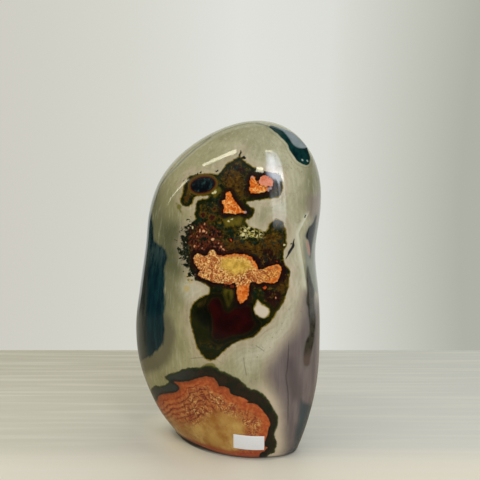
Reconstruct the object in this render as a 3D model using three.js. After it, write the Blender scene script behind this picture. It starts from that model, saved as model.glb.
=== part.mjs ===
// A polychrome jasper freeform: one upright, polished stone that stands on a sawn flat base,
// and the small paper label stuck low on its front.
// Millimetres, +Z up. The broad figured face looks along -Y. The origin is on the base plane,
// under the middle of the stone's bounding box.

import * as THREE from 'three';
import { mergeVertices } from 'three/addons/utils/BufferGeometryUtils.js';

// The stone as a whole
const HEIGHT = 240;          // base plane to crest
const CUT_AWAY = 40;         // how far the rounded form would go on below the sawn base
const ARRIS_RADIUS = 2.5;    // rounding where the side meets the base
const BASE_BAND = 7;         // width of the flat ring of faces just inside that rounding

// The oval at each level of the stone, from under the base to the crest. Half axes are those of
// the ellipsoid that has this oval at this level, so the form closes round at both ends.
// Skew is how far the oval is turned, in degrees, so that its right end comes forward, and
// square is its exponent: 2 is an ellipse, and more is flatter faces and tighter corners.
const LEVELS = [
  { height: -40, middleX: 14, halfWidth: 59, middleY: 0, halfDepth: 58, skew: 28, square: 2 },
  { height: 0, middleX: 8.4, halfWidth: 64.8, middleY: 1, halfDepth: 56.5, skew: 28, square: 2 },
  { height: 22, middleX: 4, halfWidth: 68.6, middleY: 0, halfDepth: 52.5, skew: 24, square: 2.05 },
  { height: 52, middleX: 1.2, halfWidth: 70.5, middleY: -0.5, halfDepth: 48.5, skew: 20, square: 2.2 },
  { height: 84, middleX: 0.7, halfWidth: 69.2, middleY: -0.5, halfDepth: 46, skew: 17, square: 2.3 },
  { height: 115, middleX: 2.6, halfWidth: 67.4, middleY: 0, halfDepth: 44.5, skew: 15, square: 2.3 },
  { height: 145, middleX: 4.6, halfWidth: 69.2, middleY: 1, halfDepth: 44.5, skew: 14, square: 2.3 },
  { height: 172, middleX: 7, halfWidth: 76.4, middleY: 2, halfDepth: 46, skew: 13, square: 2.3 },
  { height: 198, middleX: 11.2, halfWidth: 83.4, middleY: 3, halfDepth: 49, skew: 12, square: 2.2 },
  { height: 220, middleX: 17, halfWidth: 87.2, middleY: 3.5, halfDepth: 52, skew: 11, square: 2.1 },
  { height: 240, middleX: 24, halfWidth: 86, middleY: 3, halfDepth: 53, skew: 10, square: 2 },
];

// Broad hollows left by shaping the stone by hand, and swellings, which have a negative depth.
// Each is a soft round patch about a point near the surface.
const HOLLOWS = [
  { x: 66, y: -12, z: 137, radius: 27, depth: 4 },
  { x: 44, y: -42, z: 100, radius: 34, depth: -2.2 },
  { x: -30, y: 40, z: 150, radius: 42, depth: 3 },
  { x: 34, y: 42, z: 78, radius: 40, depth: -2.5 },
  { x: 38, y: -34, z: 0, radius: 17, depth: 4 },
];

// Slow waves in the polish. The lengths are along each axis, from crest to crest.
const WAVES = [
  { x: 150, y: 400, z: 95, size: 0.35 },
  { x: -70, y: 90, z: 160, size: 0.3 },
  { x: 210, y: -80, z: -75, size: 0.25 },
];

// The paper label
const LABEL_WIDTH = 21;
const LABEL_HEIGHT = 11;
const LABEL_THICKNESS = 0.4;
const LABEL_GAP = 0.35;      // clear space between the label's back and the stone
const LABEL_X = 15.8;        // the label's middle
const LABEL_Z = 12;
const LABEL_TURN = -2;       // degrees, its right end a little low

// How finely the surfaces are divided
const STONE_STEPS = { across: 26, through: 18, up: 42 };
const LABEL_STEPS = { across: 10, up: 6 };

const REACH = (HEIGHT + CUT_AWAY) / 2;
const FORM_MIDDLE = HEIGHT - REACH;

// Reads one column of LEVELS at any height, on a smooth curve through the given values.
function atHeight(height, column) {
  const last = LEVELS.length - 1;
  let lower = 0;
  while (lower < last - 1 && LEVELS[lower + 1].height < height) lower += 1;
  const slope = (index) => {
    const before = LEVELS[Math.max(index - 1, 0)];
    const after = LEVELS[Math.min(index + 1, last)];
    return (after[column] - before[column]) / (after.height - before.height);
  };
  const from = LEVELS[lower];
  const to = LEVELS[lower + 1];
  const span = to.height - from.height;
  const t = THREE.MathUtils.clamp((height - from.height) / span, 0, 1);
  const rise = t * t * (3 - 2 * t);
  const leave = t * (1 - t) * (1 - t) * span * slope(lower);
  const arrive = t * t * (t - 1) * span * slope(lower + 1);
  return from[column] + (to[column] - from[column]) * rise + leave + arrive;
}

// How far the surface at a point is pressed in by the hollows and waves.
function pressedIn(point) {
  let depth = 0;
  for (const hollow of HOLLOWS) {
    const distance = Math.hypot(point.x - hollow.x, point.y - hollow.y, point.z - hollow.z);
    depth += hollow.depth * Math.exp(-((distance / hollow.radius) ** 2));
  }
  for (const wave of WAVES) {
    const turns = point.x / wave.x + point.y / wave.y + point.z / wave.z;
    depth += wave.size * Math.sin(2 * Math.PI * turns);
  }
  return depth;
}

// The point of the rounded form that lies in one direction from its middle.
function formPoint(azimuth, latitude) {
  const height = FORM_MIDDLE + REACH * Math.sin(latitude);
  const girth = Math.cos(latitude);
  const power = 2 + (atHeight(height, 'square') - 2) * girth * girth;
  const cosine = Math.abs(Math.cos(azimuth)) ** power;
  const sine = Math.abs(Math.sin(azimuth)) ** power;
  const bulge = girth * (cosine + sine) ** (-1 / power);
  const skew = THREE.MathUtils.degToRad(atHeight(height, 'skew'));
  const across = bulge * Math.cos(azimuth);
  const through = bulge * Math.sin(azimuth) * Math.cos(skew) - across * Math.sin(skew);
  const middle = new THREE.Vector3(atHeight(height, 'middleX'), atHeight(height, 'middleY'), height);
  const point = middle.clone();
  point.x += atHeight(height, 'halfWidth') * across;
  point.y += atHeight(height, 'halfDepth') * through;
  const inward = middle.sub(point).normalize();
  return point.addScaledVector(inward, pressedIn(point));
}

// A point on one of the base rows, which are set in from the foot of the side.
function basePoint(azimuth, { inset, height }) {
  const foot = formPoint(azimuth, FOOT_LATITUDE);
  const inward = new THREE.Vector3(BASE_MIDDLE.x - foot.x, BASE_MIDDLE.y - foot.y, 0).normalize();
  foot.addScaledVector(inward, inset);
  foot.z = height;
  return foot;
}

// The rows of points from the flat of the base, round the arris and up to the foot of the side.
const HALFWAY_ROUND = ARRIS_RADIUS * (1 - Math.SQRT1_2);
const BASE_ROWS = [
  { inset: ARRIS_RADIUS + BASE_BAND, height: 0 },
  { inset: ARRIS_RADIUS, height: 0 },
  { inset: HALFWAY_ROUND, height: HALFWAY_ROUND },
  { inset: 0, height: ARRIS_RADIUS },
];
const FOOT_ROW = BASE_ROWS.length - 1;
const FOOT_LATITUDE = Math.asin((ARRIS_RADIUS - FORM_MIDDLE) / REACH);
const BASE_MIDDLE = new THREE.Vector3(atHeight(0, 'middleX'), atHeight(0, 'middleY'), 0);

// A box whose six sides are divided into squares, with its corners merged into one closed net.
function closedBox(width, depth, height, across, through, up) {
  const box = new THREE.BoxGeometry(width, depth, height, across, through, up);
  box.deleteAttribute('normal');
  box.deleteAttribute('uv');
  return mergeVertices(box);
}

// Where a point of the box net goes: its floor and the lowest rows of its walls become the sawn
// base and its rounding, and the rest of its walls and its lid become the rounded form.
function stonePoint(corner) {
  const evenOut = (side) => Math.tan(side * Math.PI / 4);
  const across = evenOut(corner.x);
  const through = evenOut(corner.y);
  const azimuth = Math.atan2(through, across);
  const lidLatitude = Math.atan2(1, Math.hypot(across, through));
  const row = Math.round((corner.z + 1) / 2 * STONE_STEPS.up);
  if (row < BASE_ROWS.length) {
    const outward = Math.max(Math.abs(corner.x), Math.abs(corner.y));
    return BASE_MIDDLE.clone().lerp(basePoint(azimuth, BASE_ROWS[row]), outward);
  }
  const climb = (row - FOOT_ROW) / (STONE_STEPS.up - FOOT_ROW);
  return formPoint(azimuth, THREE.MathUtils.lerp(FOOT_LATITUDE, lidLatitude, climb));
}

function stoneGeometry() {
  const net = closedBox(2, 2, 2, STONE_STEPS.across, STONE_STEPS.through, STONE_STEPS.up);
  const places = net.getAttribute('position');
  const corner = new THREE.Vector3();
  for (let index = 0; index < places.count; index += 1) {
    const point = stonePoint(corner.fromBufferAttribute(places, index));
    places.setXYZ(index, point.x, point.y, point.z);
  }
  net.computeBoundingBox();
  const middle = net.boundingBox.getCenter(new THREE.Vector3());
  net.translate(-middle.x, -middle.y, 0);
  net.computeVertexNormals();
  return net;
}

// The label follows the stone: each point of a flat slab is dropped straight onto the surface
// in front of it, and keeps its own small distance from there.
function labelGeometry(stone) {
  const ray = new THREE.Raycaster();
  ray.set(new THREE.Vector3(LABEL_X, -HEIGHT, LABEL_Z), new THREE.Vector3(0, 1, 0));
  const touch = ray.intersectObject(stone)[0];
  const outward = touch.face.normal.clone();
  const right = new THREE.Vector3(0, 0, 1).cross(outward).normalize();
  right.applyAxisAngle(outward, THREE.MathUtils.degToRad(LABEL_TURN));
  const upward = outward.clone().cross(right);
  const net = closedBox(LABEL_WIDTH, LABEL_THICKNESS, LABEL_HEIGHT, LABEL_STEPS.across, 1, LABEL_STEPS.up);
  const places = net.getAttribute('position');
  const corner = new THREE.Vector3();
  for (let index = 0; index < places.count; index += 1) {
    corner.fromBufferAttribute(places, index);
    const above = touch.point.clone().addScaledVector(outward, HEIGHT);
    above.addScaledVector(right, corner.x).addScaledVector(upward, corner.z);
    ray.set(above, outward.clone().negate());
    const point = ray.intersectObject(stone)[0].point;
    point.addScaledVector(outward, LABEL_GAP + LABEL_THICKNESS / 2 - corner.y);
    places.setXYZ(index, point.x, point.y, point.z);
  }
  net.computeVertexNormals();
  return net;
}

const jasper = new THREE.MeshStandardMaterial({ color: 0xa79c7a, roughness: 0.08, metalness: 0 });
const paper = new THREE.MeshStandardMaterial({ color: 0xe9e8e4, roughness: 0.85, metalness: 0 });

const stone = new THREE.Mesh(stoneGeometry(), jasper);
stone.name = 'stone';

const label = new THREE.Mesh(labelGeometry(stone), paper);
label.name = 'label';

const freeform = new THREE.Group();
freeform.add(stone, label);

export default freeform;
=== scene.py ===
# %% [markdown]
# # A polished polychrome jasper freeform
#
# The real object is one stone. A lump of jasper was sawn flat underneath, ground by hand to a
# rounded upright shape and polished until it mirrors the room. A small paper label is stuck low
# on its front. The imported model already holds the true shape, so this script gives it a fine
# surface, draws the stone's figures on it, and sets it on a pale floor in soft light.

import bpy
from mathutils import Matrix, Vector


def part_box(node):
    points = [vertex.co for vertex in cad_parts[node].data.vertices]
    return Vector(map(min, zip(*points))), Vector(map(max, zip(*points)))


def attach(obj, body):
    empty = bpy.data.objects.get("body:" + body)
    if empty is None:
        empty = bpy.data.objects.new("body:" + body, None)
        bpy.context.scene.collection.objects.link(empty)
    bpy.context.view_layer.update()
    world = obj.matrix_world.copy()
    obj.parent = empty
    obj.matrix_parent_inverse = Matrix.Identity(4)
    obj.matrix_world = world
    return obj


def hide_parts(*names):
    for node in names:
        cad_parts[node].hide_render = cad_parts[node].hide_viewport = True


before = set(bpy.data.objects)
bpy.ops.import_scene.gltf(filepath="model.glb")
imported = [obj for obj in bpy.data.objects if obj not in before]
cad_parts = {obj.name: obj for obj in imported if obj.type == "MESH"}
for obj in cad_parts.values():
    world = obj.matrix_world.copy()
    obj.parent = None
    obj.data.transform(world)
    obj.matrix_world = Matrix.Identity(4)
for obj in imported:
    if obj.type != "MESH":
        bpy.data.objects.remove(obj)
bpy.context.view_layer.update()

import bmesh
import bpy
import numpy as np
from mathutils import Vector
from mathutils.bvhtree import BVHTree

scene = bpy.context.scene
MM = 0.001

# %% [markdown]
# ## Camera
#
# A picture can be matched by guessing at a view, or by solving for it. Here the eye point and
# the focal length, in pixels of a square picture, were worked out from the stone's outline and
# the floor's edges. The camera is level, so upright lines stay upright.

# %% Camera
PICTURE_SIDE = 480                                  # pixels
FOCAL_LENGTH = 519                                  # pixels
EYE = np.array([10.0, -390.0, 149.5])               # millimetres

camera = bpy.data.objects.new("camera", bpy.data.cameras.new("camera"))
scene.collection.objects.link(camera)
scene.camera = camera
camera.data.sensor_width = 36
camera.data.lens = camera.data.sensor_width * FOCAL_LENGTH / PICTURE_SIDE
camera.data.clip_start = 0.01
camera.location = Vector(EYE) * MM
camera.rotation_euler = (np.pi / 2, 0, 0)
print("lens", round(camera.data.lens, 2), "mm")

# %% [markdown]
# ## The stone's surface
#
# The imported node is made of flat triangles, which a polished surface would show at once. A new
# shape could be sculpted, but the true one is already there, so a copy of it is used: its
# doubled points are merged, its triangles are joined in four-sided faces, and two rounds of
# subdivision turn those into a smooth skin with a point about every millimetre. The figures of
# the stone are drawn on those points later.

# %% Smooth copy of the stone
WELD_DISTANCE = 0.00001                             # metres
JOIN_BEND = 0.7                                     # radians between two joined triangles
JOIN_SKEW = 0.9                                     # radians that a joined face may be out of square
SKIN_LEVELS = 2


def placed(shape, name):
    """An object of this name in the scene, with the bmesh as its form."""
    mesh = bpy.data.meshes.new(name)
    shape.to_mesh(mesh)
    shape.free()
    piece = bpy.data.objects.new(name, mesh)
    scene.collection.objects.link(piece)
    return piece


def smooth_copy(node, name, levels):
    shape = bmesh.new()
    shape.from_mesh(node.data)
    bmesh.ops.remove_doubles(shape, verts=shape.verts, dist=WELD_DISTANCE)
    bmesh.ops.join_triangles(
        shape, faces=shape.faces, angle_face_threshold=JOIN_BEND, angle_shape_threshold=JOIN_SKEW
    )
    piece = placed(shape, name)
    coarse = piece.data
    skin = piece.modifiers.new("skin", "SUBSURF")
    skin.levels = levels
    skin.render_levels = levels
    fine = bpy.data.meshes.new_from_object(piece.evaluated_get(bpy.context.evaluated_depsgraph_get()))
    piece.modifiers.clear()
    piece.data = fine
    bpy.data.meshes.remove(coarse)
    fine.name = name
    fine.shade_smooth()
    return piece


stone = smooth_copy(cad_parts["stone"], "polished_stone", SKIN_LEVELS)
stone_points = np.array([point.co for point in stone.data.vertices]) / MM
print("stone", len(stone_points), "points,", len(stone.data.polygons), "faces")

# %% [markdown]
# ## Drawing on the stone
#
# The figures in jasper are bodies inside the rock that the surface cuts through. So each one is
# drawn once as a closed outline, in pixels of the picture, and reaches back into the stone along
# the lines of sight, as far as a given depth. Every point of the skin then stores how many
# millimetres it lies inside that body. A shader can turn one such distance into an edge, a rim
# or a row of growth bands, and it stays sharp however near the camera comes. On the stone's sides
# straight lines of sight would leave flat-topped blocks, so there the bodies bend downwards. The
# back has no picture to follow. Its bodies are drawn in millimetres across and up, and slow waves
# warp them so that they look grown.

# %% Distance to an outline
ROUND_STEPS = 5                                     # straight steps from one corner to the next


def rounded(corners):
    """A smooth closed line through the corners."""
    here = np.array(corners, float)
    before = np.roll(here, 1, axis=0)
    after = np.roll(here, -1, axis=0)
    beyond = np.roll(here, -2, axis=0)
    line = []
    for t in np.arange(ROUND_STEPS) / ROUND_STEPS:
        bend = 2 * before - 5 * here + 4 * after - beyond
        twist = 3 * here - before - 3 * after + beyond
        line.append(here + 0.5 * t * (after - before + t * bend + t * t * twist))
    return np.stack(line, axis=1).reshape(-1, 2)


def distance_inside(points, corners):
    """How far each point lies inside a rounded outline, or with a minus sign outside it."""
    line = rounded(corners)
    nearest = np.full(len(points), np.inf)
    inside = np.zeros(len(points), bool)
    for start, end in zip(line, np.roll(line, -1, axis=0)):
        along = end - start
        share = np.clip((points - start) @ along / (along @ along + 1e-9), 0, 1)
        gap = points - start - share[:, None] * along
        nearest = np.minimum(nearest, np.hypot(gap[:, 0], gap[:, 1]))
        if start[1] != end[1]:
            crosses = (start[1] > points[:, 1]) != (end[1] > points[:, 1])
            reach = start[0] + (points[:, 1] - start[1]) / along[1] * along[0]
            inside ^= crosses & (points[:, 0] < reach)
    return np.where(inside, nearest, -nearest)


# %% Bodies in the rock
def picture_place(points):
    """Where points of the stone are seen in the picture, in pixels."""
    away = points[:, 1] - EYE[1]
    across = PICTURE_SIDE / 2 + FOCAL_LENGTH * (points[:, 0] - EYE[0]) / away
    down = PICTURE_SIDE / 2 - FOCAL_LENGTH * (points[:, 2] - EYE[2]) / away
    return np.stack([across, down], axis=1)


seen_at = picture_place(stone_points)
pixel_size = (stone_points[:, 1] - EYE[1]) / FOCAL_LENGTH     # millimetres to a pixel at each point
across_stone, through_stone, up_stone = stone_points.T
# Slow waves, so that no body ends in a flat cut inside the stone
edge_wave = np.sin(up_stone / 15 + 1) + 0.5 * np.sin(up_stone / 6.5) + 0.7 * np.sin(across_stone / 8)
SIDE_STARTS = (2, -8)       # the camera sees this far back along Y on the left side and on the right
SIDE_LEAN = 0.9             # pixels that a body drops for each millimetre behind that
BACK_START = 8              # the back bodies begin at this depth along Y
BACK_WANDER = 4             # and this border waves to and fro so far

behind = np.maximum(through_stone - np.interp(across_stone, (-30, 30), SIDE_STARTS), 0)
drop = SIDE_LEAN * behind * (1 + 0.35 * np.sin(up_stone / 18 + across_stone / 25))
bent_at = np.stack([seen_at[:, 0], seen_at[:, 1] - drop], axis=1)
warped_at = np.stack([
    across_stone + 2.5 * np.sin(up_stone / 9) + 1.6 * np.sin(up_stone / 3.7 + across_stone / 11),
    up_stone + 2.5 * np.sin(across_stone / 8 + 1) + 1.6 * np.sin(across_stone / 4.1 + up_stone / 13),
], axis=1)


def body(corners, depth, wander=0):
    """Distance inside a body with this outline in the picture, that ends at a depth along Y."""
    room_behind = depth + wander * edge_wave - through_stone
    return np.minimum(distance_inside(bent_at, corners) * pixel_size, room_behind)


def back_body(corners):
    """The same for a body of the unseen side. Its outline is in millimetres across and up."""
    room_before = through_stone - BACK_START - BACK_WANDER * edge_wave
    return np.minimum(distance_inside(warped_at, corners), room_before)


def store(name, *distances):
    """Stores the distance inside the nearest of some bodies with the points of the skin."""
    values = np.max(distances, axis=0)
    attribute = stone.data.attributes.new(name, "FLOAT", "POINT")
    attribute.data.foreach_set("value", values.astype(np.float32))
    print(name, "covers", round(100 * float(np.mean(values > 0)), 1), "% of the points")


# %% [markdown]
# ## The green and red figure
#
# The great figure on the front is one body: two lobes like eyes, a notched neck, a broad belt
# with a frayed left edge, and a heart-shaped foot.

# %% Green figure
FRONT = 0                                           # bodies of the front face end at this depth
FIGURE = [
    (180.5, 203), (180, 198), (182, 193), (183, 187), (186, 180), (189, 176), (195, 174.5), (203, 173.5),
    (212, 173), (217.6, 174), (223, 168), (226, 164), (230.4, 161), (236, 158), (238.5, 155.5),
    (241, 150.5), (242.5, 151), (240.8, 156.5), (243.5, 159), (247, 162.4), (252, 165.6), (258, 168.5),
    (265, 171), (273, 172.5), (280, 175), (283, 185), (282, 193), (279, 197), (270, 199), (262, 200),
    (254, 201), (247, 202.5), (250, 206), (254, 208), (254.5, 212), (252.5, 217), (249.5, 219.6),
    (246.5, 220), (247, 223), (250, 226.5), (257.8, 228.6), (264, 231), (267, 229), (268.7, 224.6),
    (271.3, 222), (274.4, 219.4), (278, 218.6), (282.5, 221), (285, 226), (286.4, 231), (286.8, 245),
    (284.3, 250), (283.8, 256), (285, 263), (288, 267), (290.3, 272), (289, 282), (288, 290), (285, 300),
    (281, 307), (277, 313), (274, 318), (270, 323), (263.5, 327.5), (259, 333), (254.5, 336.8),
    (250, 338.8), (242.6, 340.4), (233.8, 343.8), (227, 349), (221.5, 354), (216.5, 359), (211, 361),
    (205, 358.7), (200.5, 354), (197, 348), (194.8, 341), (192.9, 334), (190.8, 326), (189.7, 319),
    (190, 312), (192, 305), (196, 300), (202, 296), (208, 293.5), (209, 288), (205, 284), (198, 281),
    (194.5, 276.6), (190.5, 273), (187.5, 267), (185, 259), (182, 250), (181.8, 243), (184.5, 232),
    (188, 226), (192, 222.5), (195.3, 219), (193.8, 214), (195.6, 210), (195.2, 204.4), (197.4, 200.5),
    (202, 198.7), (207.7, 198.2), (209.2, 196), (204.5, 196.2), (201, 195.9), (197, 196.6), (193.6, 200),
    (192.3, 204), (188.5, 207), (184, 206),
]
PALE_HOLE = [
    (258, 300), (256.5, 304.5), (254, 309), (256, 313.5), (260, 317), (265, 317.5), (268.5, 314),
    (268.6, 309), (265.5, 306.5), (260.5, 304),
]
FRAYED_EDGE = [
    (172, 216), (186, 213), (195, 222), (191, 236), (190, 252), (190, 264), (198, 277), (188, 284),
    (172, 274), (170, 245),
]
BACK_FIGURE = [
    (2, 22), (16, 26), (30, 40), (40, 46), (50, 60), (54, 78), (50, 92), (41, 90), (34, 98), (24, 108),
    (12, 104), (6, 96), (-6, 94), (-18, 84), (-28, 66), (-24, 54), (-12, 58), (-3, 68), (7, 64), (6, 50),
    (-2, 38),
]
hole = body(PALE_HOLE, FRONT)
store("figure", np.minimum(body(FIGURE, FRONT), -hole), back_body(BACK_FIGURE))
store("hole", hole)
store("fray", body(FRAYED_EDGE, FRONT))

# %% Oxblood heart
HEART = [
    (209, 302), (213, 297), (219, 296), (223, 303), (226, 309.5), (231, 309.5), (234, 303), (237, 306),
    (244, 306), (250, 306), (252, 311), (254, 318), (258, 324), (253, 330), (246, 334), (236, 337),
    (226, 340), (217, 341), (212, 337), (212, 328), (211, 318), (207, 309),
]
BACK_HEART = [(14, 36), (24, 44), (34, 52), (42, 66), (36, 74), (24, 70), (16, 58)]
store("heart", body(HEART, FRONT), back_body(BACK_HEART))

# %% Patches of other colours in the figure
MAROON_PATCHES = [
    [(231, 164), (236, 163.3), (241, 165), (245, 169), (245.5, 172.5), (241, 171.5), (236, 168)],
    [(263, 250), (270, 249), (274, 252), (276, 256), (279, 260), (274, 260), (268, 257), (263, 254)],
    [(281, 264), (285, 266), (288, 271), (287, 278), (284, 282), (281, 278), (282, 272)],
    [
        (264, 293), (270, 290), (277, 291), (282, 294), (280, 302), (276, 309), (270, 312), (271, 306),
        (266, 302),
    ],
    [(255, 258), (262, 257), (270, 258), (277, 261), (270, 264), (262, 267), (257, 264)],
    [(213, 232), (217, 229.5), (222, 232), (223, 236), (218, 238), (214, 237)],
    [(185, 180), (189, 176), (192, 178), (190, 184), (188, 189), (184, 188)],
]
OLIVE_PATCHES = [
    [(223.5, 291), (228, 289), (233, 291), (233.5, 298), (231.5, 305), (229, 309), (226, 307), (224, 300)],
    [
        (223, 221), (231, 216.5), (241, 216.5), (247.5, 219), (250, 224), (243, 225.5), (232, 225.5),
        (227, 227),
    ],
    [(211, 189), (216, 187), (221, 189), (219, 194), (214, 196.5), (209, 195)],
]
MOSS_PATCHES = [
    [(192, 308), (198, 306), (202, 318), (207, 326), (210, 338), (205, 344), (199, 342), (194, 334)],
    [(226, 292), (230, 291), (231, 297), (229, 302), (226, 299)],
    [(204, 350), (215, 350), (217, 357), (211, 363), (205, 359)],
]
PITCH_PATCH = [(196, 309), (203, 306), (209, 309), (211, 317), (211, 325), (206, 326), (200, 322), (196, 316)]
BROWN_PATCHES = [
    [(183, 198), (184, 187), (187, 180), (193, 177.5), (190, 184), (189, 190), (192, 197), (188, 201)],
    [
        (223, 240), (232, 237), (242, 240), (252, 243), (262, 247), (262, 256), (252, 255), (240, 252),
        (228, 252),
    ],
    [(222, 175), (228, 168), (236, 170), (243, 176), (244, 188), (240, 198), (232, 190), (226, 188)],
    [(261, 236), (272, 234), (283, 236), (283, 250), (276, 256), (264, 252)],
    [(276, 278), (284, 275), (290, 279), (288, 289), (283, 294), (278, 289)],
    [(256, 256), (264, 254), (270, 259), (264, 263), (257, 262)],
]
RUST_PATCH = [
    (190, 227), (198, 223), (210, 225), (218, 229), (224, 238), (226, 250), (220, 254), (208, 253),
    (198, 254), (190, 250), (188, 240),
]
LACE_PATCH = [
    (239, 229), (243, 225.5), (250, 226), (257, 228.5), (263, 232), (265, 237), (258, 239.5), (250, 238),
    (242, 239.5), (239, 235),
]
FIGURE_PATCHES = {
    "maroon": MAROON_PATCHES, "olive": OLIVE_PATCHES, "moss": MOSS_PATCHES, "brown": BROWN_PATCHES,
    "pitch": [PITCH_PATCH], "rust": [RUST_PATCH], "lace": [LACE_PATCH],
}
for name, outlines in FIGURE_PATCHES.items():
    store(name, *[body(outline, FRONT) for outline in outlines])

# %% [markdown]
# ## Orange pockets, teal chalcedony and orb
#
# Orange jasper fills pockets in the figure, blue-green chalcedony lies down the left side and over
# the crest, and a fiery orb in a dark rind stands at the foot. Noise would place such bodies by
# chance. These have shapes that the eye remembers, so they are drawn as the figure is.

# %% Outlines of the orange pockets
MOUTH = [
    (193.5, 258), (196, 254.6), (199.5, 254), (205.5, 256.6), (208, 254), (209.4, 251), (212.8, 250.2),
    (215.8, 252), (217, 255.2), (221, 255.8), (228, 255), (236, 253.8), (244, 254.5), (250, 256.5),
    (253.5, 260), (257, 265), (257.5, 269.5), (263, 269), (268, 267), (273, 265.2), (279, 264.8),
    (281.6, 268.5), (280.4, 274), (277.6, 281), (271, 283.2), (265, 282), (258, 284), (254, 281.5),
    (250, 283), (249, 290), (247.6, 296.6), (244.7, 300.8), (241.6, 303.6), (239, 301.8), (237.2, 296),
    (236, 284), (228, 284), (222, 283), (214, 282.6), (207.2, 279.6), (201.6, 277.4), (197.4, 274.6),
    (200, 271), (197.4, 267.5), (194.5, 263),
]
PALE_FLESH = [
    (186, 250), (206, 242), (219, 247), (222, 256.5), (238, 256), (249, 259), (257, 268.5), (268, 268),
    (278, 266.5), (278, 277), (264, 282), (246, 284), (236, 286), (208, 283), (192, 277), (186, 262),
]
YELLOW_MIDDLE = [
    (222, 259.5), (231, 257), (241, 258), (250, 262), (251, 267), (246, 271.5), (235, 275), (226, 272),
    (220, 266),
]
NOSE = [
    (226, 193), (229, 191.5), (231, 193), (233, 199), (237, 203), (240, 208.4), (246, 212.6),
    (238.6, 213), (234, 214), (229, 213), (224, 213), (223.2, 210), (224.8, 206), (222.8, 203.8),
    (222, 201.6), (223.4, 199.8), (225.6, 199.3),
]
EYE_POCKET = [
    (250.8, 177.5), (252.4, 175.8), (254.6, 177), (255.2, 180), (257.5, 183), (261, 186.2), (266, 187.2),
    (268, 189.2), (266.5, 191.2), (261, 192.6), (256, 193.6), (251.5, 192.6), (249, 190), (250.2, 185.5),
    (250.1, 181),
]
SALMON_POCKET = [
    (258.7, 182.5), (259, 179.8), (261.5, 176.8), (265, 175.4), (268.5, 176.6), (271.8, 179),
    (273.2, 182.5), (272.8, 185.6), (270, 186.6), (265.5, 186), (261, 184.6),
]
BACK_POCKET = [
    (-14, 76), (-6, 82), (4, 84), (12, 78), (22, 80), (34, 80), (44, 78), (45, 85), (38, 90), (28, 92),
    (20, 98), (10, 95), (2, 92), (-10, 88), (-18, 80),
]
pockets = [body(outline, FRONT) for outline in (MOUTH, NOSE, EYE_POCKET, SALMON_POCKET)]
store("orange", *pockets, back_body(BACK_POCKET))
store("flesh", body(PALE_FLESH, FRONT))
store("yellow", body(YELLOW_MIDDLE, FRONT))
store("salmon", pockets[3])

# %% Outlines of the teal and the dark oval
LEFT_TEAL_DEPTH = 30
LEFT_TEAL = [
    (149, 211), (151.5, 217), (153.5, 232), (155, 241), (160, 245), (165, 250), (168, 257), (166, 264),
    (165, 275), (164.5, 290), (164.5, 330), (163.5, 341), (160, 348), (153, 354), (142, 360), (115, 365),
    (100, 300), (110, 215), (140, 205),
]
CREST_TEAL_DEPTH = -5
CREST_TEAL = [
    (269, 126.4), (271.6, 129.4), (274.2, 131.4), (277.2, 133.6), (281, 137.4), (284.8, 141.2),
    (288, 145.2), (289, 148.9), (291.4, 152.8), (294, 156.6), (296.6, 160.4), (299.4, 162.6),
    (303, 164.4), (306.8, 165.2), (309.4, 163.4), (310.2, 159.1), (309.7, 155.6), (308.4, 151.8),
    (307.4, 148), (305.2, 144.2), (298.9, 138.2), (292, 132.2), (285.6, 128.2), (279, 125.6), (273, 125),
]
# The grey over the crest's teal is a painted reflection: a sheen of the room on the polish.
CREST_SHEEN = [
    (271, 124.6), (275.2, 126.8), (279.4, 128.9), (282.5, 130.9), (286.3, 135), (289.6, 139.4),
    (292, 143.2), (295, 146.3), (298.6, 148), (302, 148.4), (305.2, 148.2), (308, 146), (304, 138),
    (294, 128), (284, 122), (273, 121),
]
BACK_TEAL = [
    (78, 100), (80, 208), (64, 222), (53, 214), (50, 198), (58, 184), (53, 168), (41, 158), (43, 144),
    (55, 138), (57, 122), (64, 108),
]
OVAL_CENTRE = (202.8, 184.8)
OVAL_REACH = (11.8, 7.2)
OVAL_TILT = np.radians(-12)


def ellipse(centre, reach, tilt, corners=12):
    turns = np.arange(corners) / corners * 2 * np.pi
    across = reach[0] * np.cos(turns)
    down = reach[1] * np.sin(turns)
    return [
        (centre[0] + a * np.cos(tilt) - d * np.sin(tilt), centre[1] + a * np.sin(tilt) + d * np.cos(tilt))
        for a, d in zip(across, down)
    ]


store("teal", body(LEFT_TEAL, LEFT_TEAL_DEPTH, wander=5), back_body(BACK_TEAL))
store("crest_teal", body(CREST_TEAL, CREST_TEAL_DEPTH, wander=3))
store("crest_sheen", body(CREST_SHEEN, CREST_TEAL_DEPTH))
store("oval", body(ellipse(OVAL_CENTRE, OVAL_REACH, OVAL_TILT), FRONT))

# %% Fiery orb at the foot
ORB_DEPTH = 18
ORB = [
    (148, 395), (151, 389), (155, 385.5), (161, 386), (168, 382.5), (165, 377), (170, 373.5),
    (178, 371.5), (183, 369), (190, 367.7), (200, 367), (207, 365.5), (213, 366), (222, 371),
    (230, 374.5), (238, 378.5), (244, 383.5), (250, 388.6), (255.6, 389.6), (262, 393.4), (267.4, 398.6),
    (273.2, 408), (277.8, 416), (277.7, 425.5), (275.2, 433), (275, 437.5), (276.8, 441.5), (276, 447.5),
    (273.4, 453), (267, 457), (240, 490), (170, 480), (110, 440), (120, 400),
]
FIRE = [
    (155, 402), (158, 397), (163, 394), (172, 393), (178, 391), (180, 388), (177, 384), (172, 381),
    (180, 382), (190, 381), (195, 379), (200, 377.5), (207, 376.5), (213, 378), (217, 382), (219, 386),
    (226, 387), (229, 389), (231, 394), (236, 396), (243, 398), (249, 401), (247, 403), (254, 403.5),
    (258.8, 406), (262, 410), (266, 414.5), (268.7, 419.8), (270.2, 424), (268.3, 429), (267.2, 435),
    (265.8, 439), (264.6, 442.5), (265, 446.6), (267.6, 447.6), (264.4, 451), (259, 455.4), (255, 475),
    (170, 480), (110, 440), (130, 410),
]
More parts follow.
